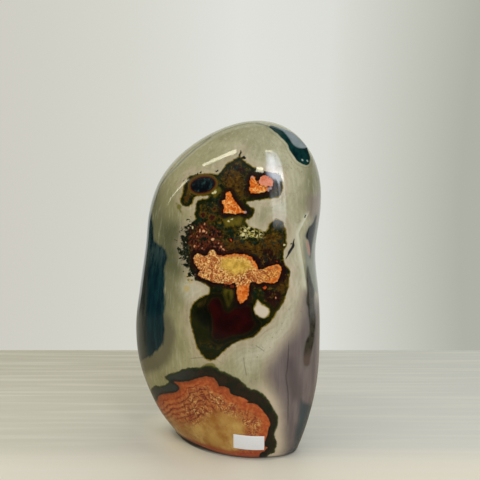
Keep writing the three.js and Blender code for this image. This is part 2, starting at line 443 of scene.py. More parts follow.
OCHRE = [
    (168, 418), (180, 423), (196, 424), (206, 417), (220, 412), (236, 417), (246, 426), (244, 438),
    (236, 452), (215, 470), (190, 470), (172, 440), (160, 420),
]
BACK_ORB = [
    (-50, 126), (-50, 150), (-46, 168), (-40, 176), (-36, 192), (-20, 201), (-4, 196), (6, 186),
    (19, 185), (31, 174), (30, 160), (37, 147), (30, 132), (17, 127), (12, 112), (0, 108), (-10, 96),
    (-24, 93), (-33, 103), (-40, 108), (-45, 117),
]
BACK_FIRE = [
    (-45, 132), (-45, 150), (-42, 162), (-36, 169), (-31, 178), (-22, 192), (-8, 190), (0, 178),
    (10, 176), (19, 169), (17, 158), (22, 147), (16, 139), (5, 136), (2, 122), (-8, 118), (-15, 106),
    (-25, 103), (-31, 112), (-37, 118), (-42, 125),
]
BACK_OCHRE = [
    (-36, 140), (-33, 154), (-26, 162), (-16, 176), (-8, 170), (-4, 158), (6, 152), (4, 144), (-8, 140),
    (-12, 126), (-22, 118), (-32, 128),
]
store("orb", body(ORB, ORB_DEPTH, wander=4), back_body(BACK_ORB))
store("fire", body(FIRE, ORB_DEPTH - 6, wander=4), back_body(BACK_FIRE))
store("ochre", body(OCHRE, ORB_DEPTH - 16, wander=4), back_body(BACK_OCHRE))

# %% [markdown]
# ## Stains and streaks
#
# Broad clouds of mauve, taupe and cream lie in the pale ground, and dark streaks run up the right
# side. The clouds' edges are far softer than the figure's. So rough outlines are enough for them,
# and the shader fades each over several millimetres.

# %% Outlines of the broad stains
STAIN_DEPTH = 60
SIDE_DEPTH = 16
MAUVE = [
    (288, 341), (296, 331), (301, 312), (305, 294), (309, 296), (318, 300), (335, 300), (340, 470),
    (284, 470), (285, 447), (283, 425), (281, 407), (277, 396), (271, 385), (267.5, 374), (272, 362),
    (279, 351),
]
TAUPE = [(308, 198), (314, 194), (335, 190), (330, 262), (318, 262), (316, 240), (314, 224), (308, 214)]
LEFT_SHADE = [
    (140, 184), (157, 182), (163, 196), (166, 208), (174, 218), (184, 228), (182, 250), (180, 275),
    (177, 300), (170, 325), (160, 335), (120, 330), (120, 200),
]
LEFT_TAUPE = [(162, 316), (172, 322), (175, 340), (168, 362), (152, 372), (125, 372), (120, 355), (158, 348)]
PALE_PATCH = [(184, 285), (191, 281), (200, 283), (208, 287), (207, 293), (199, 297), (191, 301), (185, 296)]
CREAM = [
    (291, 226), (299, 228), (301, 280), (294, 325), (276, 352), (255, 366), (238, 356), (262, 340),
    (285, 310), (292, 265),
]
MAUVE_CORE = [
    (287.5, 360), (293, 360), (298, 370), (301, 384), (299, 397), (292, 399), (287, 388), (286, 377),
]
SLATE = [
    (291.5, 448), (293.7, 442), (295.4, 431), (297, 420), (298.6, 409), (301, 399), (305, 402),
    (309, 404), (314, 399), (330, 396), (325, 460), (285, 460),
]
DEEP_SHADE = [(160, 230), (170, 222), (184, 228), (185, 262), (178, 278), (167, 272), (160, 256)]
RIGHT_SHADE = [
    (302, 172), (305, 158), (312, 150), (335, 160), (335, 196), (316, 200), (309, 206), (304, 204),
    (301, 190),
]
RIGHT_STRIP = [
    (304, 240), (304, 256), (307, 276), (311, 290), (335, 290), (335, 226), (316, 224), (312, 246),
    (309, 254),
]
BACK_MAUVE = [
    (-80, 20), (-50, 16), (-34, 34), (-38, 52), (-30, 74), (-40, 92), (-56, 88), (-80, 100),
]
BACK_CREAM = [
    (-30, 66), (-4, 100), (22, 118), (46, 122), (44, 150), (40, 176), (24, 200), (-6, 214), (-38, 206),
    (-60, 186), (-76, 150), (-70, 110), (-50, 96),
]
BACK_SHADE = [
    (-30, 214), (0, 222), (30, 210), (48, 186), (60, 190), (66, 214), (50, 238), (10, 250), (-30, 236),
]
store("mauve", body(MAUVE, STAIN_DEPTH), back_body(BACK_MAUVE))
store("mauve_core", body(MAUVE_CORE, FRONT))
store("taupe", body(TAUPE, SIDE_DEPTH, wander=6), body(LEFT_TAUPE, SIDE_DEPTH, wander=6))
side_shades = (body(LEFT_SHADE, SIDE_DEPTH, wander=6), body(RIGHT_SHADE, FRONT, wander=6))
store("shade", *side_shades, back_body(BACK_SHADE))
store("deep_shade", body(DEEP_SHADE, FRONT))
store("strip", body(RIGHT_STRIP, SIDE_DEPTH - 12, wander=6))
store("cream", body(CREAM, FRONT), body(PALE_PATCH, FRONT), back_body(BACK_CREAM))
store("slate", body(SLATE, SIDE_DEPTH, wander=6))

# %% Streaks up the right side
STREAK_DEPTH = -8
HIGH_STREAK = [
    (316.4, 215.5), (315.4, 223), (314.4, 232), (312.4, 243), (310.8, 254), (310, 258), (309.4, 252),
    (309, 245), (308.2, 240), (306.6, 238.5), (306.2, 235), (308.6, 228.6), (312.8, 223),
]
LOW_STREAK = [
    (307.6, 266), (309.5, 274), (311.8, 282), (313.8, 290), (314, 302), (314.9, 312), (315.4, 322),
    (314.4, 333), (313.8, 340), (312.2, 348.5), (310.5, 356), (308.9, 365), (304.5, 364.8), (303.8, 356),
    (304.8, 348), (306.8, 340), (310, 333), (309.5, 322), (309, 315), (308.6, 308), (306.6, 302),
    (307.6, 290), (307, 278),
]
PINK_STREAK = [(307, 239.5), (308.6, 243), (310, 250), (309.9, 256), (308.4, 253), (306.9, 246)]
store("streak", body(HIGH_STREAK, STREAK_DEPTH), body(LOW_STREAK, STREAK_DEPTH))
store("pink_streak", body(PINK_STREAK, STREAK_DEPTH))

# %% Stains of olive beside the figure
OLIVE_STAINS = [
    [(175.5, 203), (179, 204), (181.5, 207), (181, 210), (183.5, 215.5), (180.5, 212.5), (178, 209)],
    [(199, 369), (203, 365.5), (208, 363.5), (213, 363.5), (217, 368), (216, 372), (200, 372)],
]
store("stain", *[body(outline, FRONT) for outline in OLIVE_STAINS])

# %% [markdown]
# Cracks and thin lines are finer than the spacing of the skin's points, so a distance inside
# them would be lost. A smooth distance to one side of the line isn't: it passes zero on the line,
# and the shader cuts a thin band out of it. Each line runs downwards, so one value of the way
# across is enough for each height in the picture.

# %% Cracks and thin lines
DARK_LINES = [
    [(306.3, 214.5), (304.3, 218)],
    [
        (294.4, 238.5), (293.3, 242.4), (293.4, 245.5), (291.6, 248.7), (289.8, 251.3), (288.5, 254.5),
        (285.8, 259),
    ],
    [(288.8, 340), (288.3, 355), (287.2, 370), (285.7, 376), (286.7, 383), (288.2, 393), (287.8, 425)],
]
# A pale band of painted highlight runs beside the ridge line: the bright room reflected by the hollow's edge.
RIDGE_HIGHLIGHT_LINES = [
    [
        (310, 211), (304, 222), (298.5, 233), (299.5, 243), (301.5, 255), (303.5, 267), (305.3, 280),
        (306.5, 290),
    ],
]
FAR_OFF = 99.0                                      # millimetres, where no line passes


def line_distances(lines):
    """How far each point is to the right of the line at its height, and how far from the line's ends."""
    aside = np.full(len(stone_points), FAR_OFF)
    run = np.full(len(stone_points), -FAR_OFF)
    for line in lines:
        across, down = np.array(line).T
        from_line = (seen_at[:, 0] - np.interp(seen_at[:, 1], down, across)) * pixel_size
        from_end = np.minimum(seen_at[:, 1] - down[0], down[-1] - seen_at[:, 1]) * pixel_size
        nearer = from_end > run
        aside = np.where(nearer, from_line, aside)
        run = np.where(nearer, from_end, run)
    return aside, np.where(stone_points[:, 1] < FRONT, run, -FAR_OFF)


for name, lines in (("dark_line", DARK_LINES), ("ridge", RIDGE_HIGHLIGHT_LINES)):
    aside, run = line_distances(lines)
    store(name + "_aside", aside)
    store(name + "_run", run)

# %% [markdown]
# Small round spots are too fine for the skin's points as well. The shader measures the distance
# to their middles instead, so each needs its place on the stone, found by a line of sight.

# %% Places of small spots
skin_tree = BVHTree.FromPolygons(stone_points.tolist(), [list(face.vertices) for face in stone.data.polygons])


def on_skin(across, down):
    """The point of the stone that the picture shows at a pixel, in millimetres."""
    way = Vector(((across - PICTURE_SIDE / 2) / FOCAL_LENGTH, 1, (PICTURE_SIDE / 2 - down) / FOCAL_LENGTH))
    return tuple(skin_tree.ray_cast(Vector(EYE), way)[0])


# Each spot is its pixel across and down, and its radius in millimetres.
RINGED_SPOTS = [(203.2, 215, 2.3), (211.8, 217.7, 2.6), (214.1, 209.3, 1.7), (229, 184.8, 1.6)]
PEACH_SPOTS = [
    (200, 231, 0.9), (203.5, 231.2, 1.0), (206.5, 232.5, 0.7), (197, 236.5, 0.8), (213, 238.8, 1.1),
    (221, 247, 1.0), (223.4, 249.5, 0.8), (214.3, 246.4, 0.9), (218.2, 243.5, 0.7), (194, 245.7, 0.9),
    (204.3, 223.9, 0.7), (202, 248.7, 0.6), (276, 298, 0.8),
]
CREAM_SPOTS = [
    (242.8, 234.4, 1.3), (245.6, 230.5, 0.9), (249, 227.6, 0.9), (252.5, 231, 0.6), (260.6, 234.6, 0.7),
    (257, 236.2, 0.8), (228.6, 221.4, 0.8), (231.6, 219.2, 0.7), (284.6, 245, 0.8), (192.5, 227.3, 0.7),
    (214.8, 191.7, 1.2), (213, 192.8, 0.8), (246.5, 236, 0.6),
]
LILAC_SPOTS = [
    (252.4, 177, 0.8), (268.4, 188.8, 0.9), (270.6, 188.2, 0.9), (268.4, 190.6, 0.6),
    (245.4, 212.2, 0.8),
]
FIRE_SPOTS = [
    (232.2, 286.2, 1.4), (264.8, 288.1, 1.3), (231, 239.5, 0.8), (277.2, 261.7, 1.1),
    (225.6, 284.6, 0.9), (237.3, 285.6, 0.8),
]
OCHRE_SPOTS = [(188.2, 276.3, 1.3), (190.5, 280.9, 1.5), (186.7, 288.5, 2.2)]
BLACK_SPOTS = [
    (243.9, 157.6, 1.5), (241.4, 151.2, 0.6), (240.6, 153, 0.8), (239.6, 155, 0.9), (183.5, 180.6, 0.8),
    (200.7, 172.3, 0.8), (196.9, 174.2, 0.8), (291.4, 244, 0.8), (217.4, 171.2, 0.9),
    (305.3, 216.3, 0.9),
]
CREST_SPECKS = [(302.4, 160, 0.9), (307.4, 160.8, 0.9)]
OCHRE_GLOWS = [(214, 440, 5.5), (240, 428, 4.5), (224, 420, 4), (200, 428, 3.5)]
# Each hairline is its two ends.
HAIRLINES = [
    ((243.7, 358), (244.4, 365)), ((244.4, 365), (246.4, 375)), ((191, 358.4), (203, 357.4)),
    ((256, 345.6), (264, 351)), ((196, 318), (197.5, 327)), ((169, 262), (176, 259.5)),
]
# A painted dark reflection, of the dark band over the room's wall, runs inside the rim at the upper
# left and beside the tip of the crest.
RIM_REFLECTION_LINES = [
    [
        (210, 138), (200.5, 145), (187, 156), (175.2, 168), (168.3, 175), (160, 186), (156, 198),
        (152.5, 208), (150.3, 222),
    ],
    [(257, 123.4), (263, 124.6), (267, 125.8), (270.5, 127.4)],
]
print("first ringed spot at", on_skin(*RINGED_SPOTS[0][:2]))

# %% [markdown]
# ## Tools for the shaders
#
# A stone's shader is a long chain of small steps, so a few helpers keep each step on one line.
# They add their nodes to `tree`, which is always the node tree in hand. Colours are given as they
# look on a screen, from 0 to 255, and turned into the linear values that Cycles works with. Every
# pattern works on Object coordinates in millimetres, so a size in a shader is a size on the stone.

# %% Nodes
def add_node(kind, inputs, **settings):
    """Adds a node, makes its settings, and sets or links its inputs."""
    node = tree.nodes.new(kind)
    for name, value in settings.items():
        setattr(node, name, value)
    for name, value in inputs.items():
        if isinstance(value, bpy.types.NodeSocket):
            tree.links.new(value, node.inputs[name])
        else:
            node.inputs[name].default_value = value
    return node


def maths(operation, first, second=0.0, third=0.0):
    return add_node("ShaderNodeMath", {0: first, 1: second, 2: third}, operation=operation).outputs[0]


def vector_maths(operation, first, second=(0, 0, 0), scale=1.0):
    """Works on two vectors. Lengths, distances and dot products come out as one number."""
    inputs = {0: first, 1: second, 3: scale}
    node = add_node("ShaderNodeVectorMath", inputs, operation=operation)
    return node.outputs["Value" if operation in ("DISTANCE", "DOT_PRODUCT", "LENGTH") else "Vector"]


def fade(value, low, high):
    """0 at the low value, 1 at the high one, and smooth between them."""
    inputs = {"Value": value, "From Min": low, "From Max": high}
    return add_node("ShaderNodeMapRange", inputs, interpolation_type="SMOOTHSTEP").outputs[0]


def both(first, second):
    """The product of two shares."""
    return maths("MULTIPLY", first, second)


# %% Colours
def colour(red, green, blue):
    """A screen colour as linear red, green, blue and alpha."""
    screen = np.array([red, green, blue]) / 255
    linear = np.where(screen <= 0.04045, screen / 12.92, ((screen + 0.055) / 1.055) ** 2.4)
    return (*linear.tolist(), 1.0)


def mix(share, under, over, most=1.0):
    """Lays a colour over another: none of it where the share is 0, and the most where it is 1."""
    inputs = {0: share if most == 1 else both(share, most)}
    for socket, layer in ((6, under), (7, over)):
        inputs[socket] = colour(*layer) if isinstance(layer, tuple) and len(layer) == 3 else layer
    return add_node("ShaderNodeMix", inputs, data_type="RGBA").outputs[2]


# %% Places and patterns
def stretched(place, scale, offset=(0, 0, 0)):
    inputs = {"Vector": place, "Scale": scale, "Location": offset}
    return add_node("ShaderNodeMapping", inputs).outputs[0]


def millimetres():
    """Object coordinates in millimetres."""
    coordinates = add_node("ShaderNodeTexCoord", {}).outputs["Object"]
    return stretched(coordinates, (1 / MM, 1 / MM, 1 / MM))


def axes(place):
    """How far a place is across, through and up."""
    return add_node("ShaderNodeSeparateXYZ", {0: place}).outputs


def cloud(place, size, detail=2.0, roughness=0.5, wander=0.0, offset=(0, 0, 0)):
    """Soft noise from 0 to 1, whose lumps have about the given size in millimetres."""
    if any(offset):
        place = stretched(place, (1, 1, 1), offset)
    shape = {"Detail": detail, "Roughness": roughness, "Distortion": wander}
    inputs = {"Vector": place, "Scale": 1 / size, **shape}
    return add_node("ShaderNodeTexNoise", inputs).outputs["Fac"]


def stored(name):
    """One of the distances that the skin's points hold."""
    return add_node("ShaderNodeAttribute", {}, attribute_name=name).outputs["Fac"]


# %% [markdown]
# Three effects come back in one colour after another: an edge that frays, a mesh of fine
# squiggles, and growth bands that follow an edge. Each is a node group, so it is built once, and
# has its sizes as inputs, so every use can have its own.

# %% Group helpers
def new_group(name, inputs, outputs):
    """A shader group with its sockets. Returns the group, its inputs and its output node."""
    group = bpy.data.node_groups.new(name, "ShaderNodeTree")
    for direction, sockets in (("INPUT", inputs), ("OUTPUT", outputs)):
        for socket, kind in sockets.items():
            group.interface.new_socket(socket, in_out=direction, socket_type="NodeSocket" + kind)
    return group, group.nodes.new("NodeGroupInput").outputs, group.nodes.new("NodeGroupOutput")


def divided(place, size):
    """The place, with the size as the unit of length."""
    sizes = add_node("ShaderNodeCombineXYZ", {0: size, 1: size, 2: size}).outputs[0]
    return vector_maths("DIVIDE", place, sizes)


# %% Ragged edge group
tree, given, result = new_group(
    "ragged edge",
    {"Distance": "Float", "Place": "Vector", "Size": "Float", "Depth": "Float"},
    {"Distance": "Float"},
)
ragged_edge = tree
lumps = cloud(divided(given["Place"], given["Size"]), size=1, detail=4, roughness=0.6)
push = both(maths("SUBTRACT", lumps, 0.5), given["Depth"])
tree.links.new(maths("ADD", given["Distance"], push), result.inputs["Distance"])


def frayed(distance, place, size, depth):
    """A distance whose zero line wanders in and out, in lumps of a size and up to a depth."""
    inputs = {"Distance": distance, "Place": place, "Size": size, "Depth": depth}
    return add_node("ShaderNodeGroup", inputs, node_tree=ragged_edge).outputs[0]


def patch(name, place, size, depth, low, high):
    """The share of a stored body: it fades in between two distances inside its ragged edge."""
    return fade(frayed(stored(name), place, size, depth), low, high)


# %% Squiggle group
tree, given, result = new_group(
    "squiggles", {"Place": "Vector", "Size": "Float", "Width": "Float"}, {"Mask": "Float"}
)
squiggles = tree
worms = cloud(divided(given["Place"], given["Size"]), size=1, detail=1, roughness=0.4, wander=0.8)
from_middle = maths("ABSOLUTE", maths("SUBTRACT", worms, 0.5))
tree.links.new(maths("SUBTRACT", 1.0, fade(from_middle, 0.0, given["Width"])), result.inputs["Mask"])


def worm_lines(place, size, width):
    inputs = {"Place": place, "Size": size, "Width": width}
    return add_node("ShaderNodeGroup", inputs, node_tree=squiggles).outputs[0]


# %% Growth band group
tree, given, result = new_group(
    "growth bands",
    {"Distance": "Float", "Place": "Vector", "Spacing": "Float", "Wander": "Float"},
    {"Mask": "Float"},
)
growth_bands = tree
drift = both(maths("SUBTRACT", cloud(given["Place"], size=7), 0.5), given["Wander"])
count = maths("DIVIDE", maths("ADD", given["Distance"], drift), given["Spacing"])
wave = maths("SINE", both(count, 2 * np.pi))
tree.links.new(maths("MULTIPLY_ADD", wave, 0.5, 0.5), result.inputs["Mask"])


def banding(distance, place, spacing, wander):
    inputs = {"Distance": distance, "Place": place, "Spacing": spacing, "Wander": wander}
    return add_node("ShaderNodeGroup", inputs, node_tree=growth_bands).outputs[0]


for group in (ragged_edge, squiggles, growth_bands):
    print("group", group.name, "has", len(group.nodes), "nodes")


# %% Distances to spots and thin lines
def spot_distance(place, spots):
    """How far a place lies inside the nearest of some round spots."""
    inside = None
    for across, down, radius in spots:
        depth = maths("SUBTRACT", radius, vector_maths("DISTANCE", place, on_skin(across, down)))
        inside = depth if inside is None else maths("MAXIMUM", inside, depth)
    return inside


def hairline_distance(place, lines):
    """How far a place lies from the nearest of some short straight lines."""
    nearest = None
    for start, end in lines:
        first = Vector(on_skin(*start))
        along = Vector(on_skin(*end)) - first
        from_first = vector_maths("SUBTRACT", place, tuple(first))
        share = vector_maths("DOT_PRODUCT", from_first, tuple(along / along.length_squared))
        share = maths("MINIMUM", maths("MAXIMUM", share, 0.0), 1.0)
        gap = vector_maths("DISTANCE", from_first, vector_maths("SCALE", tuple(along), scale=share))
        nearest = gap if nearest is None else maths("MINIMUM", nearest, gap)
    return nearest


# %% [markdown]
# ## Polished jasper
#
# The colours are laid on as the rock grew: first the pale ground with its broad stains, then the
# teal chalcedony, the green and oxblood figure, and last the orange pockets inside it. Each
# function below takes the colour so far and returns it with one more of these on top.

# %% Broad colours of the ground
def paint_ground(place):
    across, through, _ = axes(place)
    lumps = fade(cloud(place, size=34, detail=3), 0.35, 0.65)
    left = mix(lumps, (141, 136, 96), (163, 157, 118))
    right = mix(lumps, (151, 149, 118), (180, 176, 149))
    ground = mix(fade(across, -25, 45), left, right)
    ground = mix(patch("shade", place, 20, 12, -7, 9), ground, (108, 108, 78), 0.85)
    ground = mix(patch("deep_shade", place, 16, 8, -5, 6), ground, (70, 76, 48), 0.7)
    ground = mix(patch("cream", place, 16, 12, -7, 7), ground, (198, 192, 170), 0.85)
    pink = patch("figure", place, 12, 9, -8, -1)
    ground = mix(both(pink, fade(across, -50, -25)), ground, (200, 178, 156), 0.42)
    lines = banding(stored("figure"), place, 3.4, 9)
    ground = mix(lines, ground, (122, 116, 86), 0.14)
    unseen = fade(through, -2, 16)
    tint = cloud(place, size=42, detail=4, roughness=0.55, offset=(50, 0, 20))
    ground = mix(both(fade(tint, 0.5, 0.62), unseen), ground, (146, 122, 98), 0.6)
    return mix(both(fade(tint, 0.44, 0.34), unseen), ground, (96, 104, 80), 0.6)


# %% Stains in the ground
def paint_stains(place, under):
    across = axes(place)[0]
    fibres = cloud(stretched(place, (1, 1, 0.1)), size=3.5, detail=3, roughness=0.55)
    mauve = mix(fade(fibres, 0.3, 0.7), (106, 95, 94), (122, 110, 108))
    mauve = mix(patch("mauve_core", place, 16, 4, -4.5, 3.5), mauve, (84, 75, 76), 0.8)
    mauve_edge = frayed(stored("mauve"), place, 20, 5)
    ground = mix(fade(mauve_edge, -9, -1), under, (168, 148, 132), 0.45)
    pale_rim = both(fade(stored("orb"), -9, -1), fade(across, 8, 34))
    ground = mix(pale_rim, ground, (206, 188, 166), 0.75)
    stained = mix(fade(mauve_edge, -5.5, 5.5), ground, mauve)
    taupe_colour = mix(fade(across, -20, 20), (96, 91, 70), (124, 111, 102))
    stained = mix(patch("taupe", place, 9, 5, -3.5, 3.5), stained, taupe_colour, 0.85)
    long_lumps = stretched(place, (1, 1, 0.3))
    stained = mix(patch("strip", long_lumps, 4, 3, -1.5, 1.5), stained, (116, 120, 108), 0.85)
    slate_edge = frayed(stored("slate"), long_lumps, 5, 4)
    stained = mix(fade(slate_edge, -1.6, 2.4), stained, mix(fibres, (58, 66, 70), (76, 84, 88)))
    stained = mix(patch("stain", place, 2.5, 2.5, -0.7, 0.5), stained, (104, 98, 28), 0.85)
    ochre = fade(spot_distance(place, OCHRE_SPOTS), -1.0, 0.8)
    return mix(ochre, stained, (184, 158, 84), 0.6)


# %% Grain of the ground
def paint_grain(place, under):
    upright = cloud(stretched(place, (1, 1, 0.16)), size=2.4, detail=4, roughness=0.65)
    grained = mix(fade(upright, 0.45, 0.75), under, (116, 110, 88), 0.26)
    grained = mix(fade(upright, 0.5, 0.25), grained, (208, 203, 182), 0.28)
    specks = cloud(place, size=0.7, detail=2, roughness=0.7)
    grained = mix(fade(specks, 0.6, 0.78), grained, (96, 92, 72), 0.28)
    flecks = fade(cloud(place, size=1.6, detail=2), 0.68, 0.74)
    grained = mix(flecks, grained, (70, 76, 60), 0.5)
    hairlines = both(worm_lines(place, 15, 0.012), fade(cloud(place, size=21), 0.5, 0.62))
    return mix(hairlines, grained, (120, 92, 84), 0.3)


# %% [markdown]
# ### Teal chalcedony and streaks
#
# Chalcedony is darker and more even than the ground, with fibres that run upwards. A photograph of
# it would bring its own scale and direction. Noise that is stretched along the height gives the
# same fibres at any size, and so it does for the streaks.

# %% Teal
def paint_teal(place, under):
    across, through, up = axes(place)
    fibres = cloud(stretched(place, (1, 1, 0.15)), size=4, detail=4, roughness=0.65)
    teal = mix(fade(fibres, 0.35, 0.7), (8, 30, 38), (20, 52, 56))
    brown = both(fade(across, -55, -60), fade(through, 9, -3))
    teal = mix(brown, teal, mix(fade(fibres, 0.4, 0.6), (44, 48, 40), (66, 66, 56)), 0.85)
    upper = both(fade(up, 122, 150), fade(fibres, 0.38, 0.6))
    teal = mix(upper, teal, (66, 82, 76), 0.75)
    painted = mix(patch("teal", stretched(place, (1, 1, 0.3)), 4, 5, -1.2, 1.2), under, teal)

    crest_edge = frayed(stored("crest_teal"), place, 4, 0.8)
    crest_teal = mix(fade(fibres, 0.4, 0.6), (0, 27, 31), (8, 48, 45))
    specks = fade(spot_distance(place, CREST_SPECKS), -0.3, 0.4)
    crest_teal = mix(specks, crest_teal, (160, 170, 160), 0.8)
    # Painted reflection: a grey sheen over the crest's teal
    painted_sheen = mix(fade(cloud(place, size=9), 0.3, 0.7), (114, 128, 130), (134, 142, 145))
    crest = mix(fade(stored("crest_sheen"), -0.5, 0.9), crest_teal, painted_sheen)
    line_round = both(fade(crest_edge, -2.4, -1.9), fade(crest_edge, -1.2, -1.7))
    painted = mix(line_round, painted, (84, 84, 50), 0.3)
    return mix(fade(crest_edge, -0.3, 0.4), painted, crest)


# %% Streaks
def paint_streaks(place, under):
    edge = frayed(stored("streak"), stretched(place, (1, 1, 0.4)), 4, 1.2)
    low = axes(place)[2]
    core = mix(fade(cloud(place, size=5, detail=3), 0.4, 0.6), (42, 39, 30), (58, 54, 43))
    core = mix(fade(low, 136, 144), core, (26, 32, 31))
    core = mix(fade(low, 78, 68), core, (90, 76, 68))
    streaked = mix(fade(edge, -3.5, -0.3), under, (96, 98, 90), 0.35)
    streaked = mix(fade(edge, -0.9, 0.5), streaked, core)
    pink = fade(stored("pink_streak"), -0.5, 0.3)
    streaked = mix(pink, streaked, (160, 120, 106), 0.9)
    # A pale band of painted highlight beside the ridge line
    aside = stored("ridge_aside")
    painted_ridge_highlight = both(fade(aside, -3.6, -0.6), fade(aside, 0.4, -0.1))
    painted_ridge_highlight = both(painted_ridge_highlight, fade(stored("ridge_run"), -1, 4))
    return mix(painted_ridge_highlight, streaked, (212, 211, 190), 0.6)


# %% Dark lines
def crack_mask(place):
    """1 along the dark lines and 0 elsewhere. They are thickest in the middle of their run."""
    run = stored("dark_line_run")
    wobble = both(maths("SUBTRACT", cloud(place, size=2, detail=3), 0.5), 0.7)
    aside = maths("ABSOLUTE", maths("ADD", stored("dark_line_aside"), wobble))
    low = axes(place)[2]
    strong = fade(low, 95, 130)
    width = maths("MULTIPLY_ADD", fade(run, 0.5, 6), 0.7, 0.35)
    width = both(width, maths("MULTIPLY_ADD", strong, 0.7, 0.3))
    edge = fade(maths("SUBTRACT", width, aside), -0.12, 0.2)
    faint = maths("MULTIPLY_ADD", strong, 0.4, 0.6)
    return both(both(edge, fade(run, -0.3, 0.6)), faint)


# %% [markdown]
# ### Green and oxblood figure
#
# The figure is the busiest part of the stone: green and brown jasper with a speckled grain, a
# yellow-green rim, a deep red heart and rust like moss. One noise can't look like all of that, so
# several of different sizes lie over each other, each only where a drawn patch lets it.

# %% Green and oxblood figure
def paint_figure(place, under):
    plain_edge = stored("figure")
    across, _, up = axes(place)
    fray = fade(stored("fray"), -2, 3)
    strokes = cloud(stretched(place, (0.7, 1, 1.2)), size=3.2, detail=6, roughness=0.75)
    tatter = both(maths("SUBTRACT", strokes, 0.47), both(fray, 34))
    edge = maths("ADD", frayed(plain_edge, place, 2.2, 2.4), tatter)

    patches = cloud(place, size=6, detail=4, roughness=0.65)
    flesh = mix(fade(patches, 0.4, 0.6), (20, 30, 10), (66, 52, 10))
    cool = fade(cloud(place, size=9, detail=3, offset=(20, 0, 0)), 0.52, 0.64)
    flesh = mix(cool, flesh, (16, 34, 26), 0.7)
    flesh = mix(patch("brown", place, 6, 6, -2, 3), flesh, (78, 50, 14), 0.75)
    olive = patch("olive", place, 4, 3, -1.2, 1.6)
    flesh = mix(olive, flesh, (84, 80, 14), 0.75)
    flesh = mix(patch("maroon", place, 4, 3.5, -1.4, 1.4), flesh, (36, 9, 12), 0.9)
    busy = maths("MULTIPLY_ADD", fade(up, 108, 122), 0.6, 0.3)
    speckle = cloud(place, size=2.4, detail=5, roughness=0.8)
    flesh = mix(both(fade(speckle, 0.51, 0.6), busy), flesh, (10, 16, 8))
    flesh = mix(both(fade(speckle, 0.46, 0.36), busy), flesh, (112, 84, 20))
    cool_spots = cloud(place, size=3.4, detail=4, roughness=0.7, offset=(0, 30, 0))
    flesh = mix(both(fade(cool_spots, 0.55, 0.64), busy), flesh, (18, 46, 38))
    flesh = mix(olive, flesh, (122, 104, 34), 0.4)
    fringe = mix(fade(speckle, 0.5, 0.42), (6, 14, 14), (34, 60, 54))
    flesh = mix(fray, flesh, fringe, 0.7)

    border_share = maths("MULTIPLY_ADD", fade(across, 38, 30), 0.5, 0.25)
    dark_border = both(fade(edge, 4.2, 2.2), border_share)
    flesh = mix(dark_border, flesh, (16, 26, 8))
    heart_edge = frayed(stored("heart"), place, 8, 4)
    heart_lines = banding(heart_edge, place, 3.1, 2)
    near_heart = fade(stored("heart"), -7, -1)
    flesh = mix(near_heart, flesh, (12, 14, 5), 0.9)
    flesh = mix(both(near_heart, fade(heart_lines, 0.75, 1.0)), flesh, (62, 50, 14), 0.35)
    flesh = mix(patch("moss", place, 4, 3, -1.5, 1.8), flesh, (22, 26, 0), 0.9)
    depth = fade(cloud(place, size=14, detail=2), 0.4, 0.6)
    flesh = mix(fade(heart_edge, -1.0, 2.6), flesh, mix(depth, (26, 4, 4), (44, 6, 5)))
    flesh = mix(patch("pitch", place, 4, 4, -2.5, 2), flesh, (6, 9, 4), 0.85)

    rim_strength = maths("MULTIPLY_ADD", fade(cloud(place, size=7, detail=3), 0.35, 0.6), 0.6, 0.3)
    rim = both(fade(edge, 1.0, 0.35), both(rim_strength, maths("SUBTRACT", 1.0, fray)))
    flesh = mix(rim, flesh, (134, 112, 22))
    return mix(fade(edge, -0.25, 0.25), under, flesh)


# %% Rust, lace and small spots in the figure
# Each kind of spot has rings from the outside in: where one fades in, its colour and its most.
SPOT_RINGS = (
    (RINGED_SPOTS, ((-0.6, 0.1, (92, 62, 16), 0.6), (0.4, 1.0, (50, 12, 16), 0.9))),
    (PEACH_SPOTS, ((-0.9, -0.2, (66, 26, 16), 0.8), (-0.2, 0.5, (220, 158, 112), 1))),
    (CREAM_SPOTS, ((-0.4, 0.4, (210, 200, 150), 1),)),
    (FIRE_SPOTS, ((-1.2, -0.3, (30, 8, 6), 1), (-0.2, 0.5, (200, 84, 30), 1))),
)
SPOT_SWIRL = 3.6                                    # how widely noise pushes the spots about


def paint_figure_details(place, under):
    inside = fade(stored("figure"), -0.5, 0.5)
    rust = patch("rust", place, 5, 10, -1.5, 2.5)
    stripes = cloud(place, size=1.7, detail=3, roughness=0.6)
    rusty = mix(fade(stripes, 0.44, 0.52), (12, 18, 16), (88, 38, 22))
    rusty = mix(fade(stripes, 0.6, 0.68), rusty, (156, 84, 52))
    gaps = fade(cloud(place, size=5, detail=3, roughness=0.65, offset=(0, 0, 17)), 0.38, 0.5)
    rust = both(rust, maths("MULTIPLY_ADD", gaps, 0.7, 0.25))
    detailed = mix(rust, under, rusty)
    lace = patch("lace", place, 4, 4, -1.0, 1.5)
    mesh = worm_lines(place, 2.2, 0.08)
    detailed = mix(both(lace, mesh), detailed, (200, 184, 104), 0.9)

    swirl = add_node("ShaderNodeTexNoise", {"Vector": place, "Scale": 0.6, "Detail": 3.0}).outputs["Color"]
    shift = vector_maths("SUBTRACT", swirl, (0.5, 0.5, 0.5))
    moved = vector_maths("ADD", place, vector_maths("SCALE", shift, scale=SPOT_SWIRL))
    for spots, rings in SPOT_RINGS:
        depth = spot_distance(moved, spots)
        for low, high, shade, most in rings:
            detailed = mix(fade(depth, low, high), detailed, shade, most)
    painted = mix(inside, under, detailed)
    black = spot_distance(moved, BLACK_SPOTS)
    painted = mix(fade(black, -0.3, 0.2), painted, (16, 20, 8))
    return mix(fade(stored("hole"), -0.3, 1.2), painted, (214, 200, 180), 0.8)


